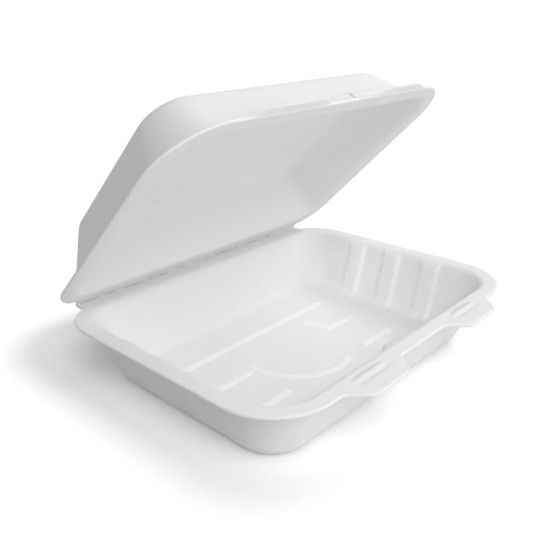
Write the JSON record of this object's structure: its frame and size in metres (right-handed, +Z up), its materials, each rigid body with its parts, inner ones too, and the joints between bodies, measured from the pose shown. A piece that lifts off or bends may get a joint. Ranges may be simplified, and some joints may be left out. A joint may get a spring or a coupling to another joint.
{
  "type": "bagasse clamshell container",
  "caption": "White moulded-fibre clamshell food container with its lid part open, ribbed end walls, a beaded floor and closing tabs with slits along the front rim.",
  "frame": {"origin": "middle of the flat underside of the tray", "axes": "+X along the hinge, -Y towards the closing tabs, +Z up out of the tray"},
  "size_m": [0.237, 0.1933, 0.1673],
  "materials": {
    "fibre": "matt, fine pressed-fibre grain"
  },
  "bodies": {
    "tray": {"tray": "fibre"},
    "lid": {"lid": "fibre"}
  },
  "joints": [
    {"name": "lid_hinge", "type": "hinge", "parent": "tray", "child": "lid", "pos_m": [0, 0.0915, 0.04115], "axis": [-1, 0, 0], "range_deg": [-44.4, 135.6]}
  ]
}
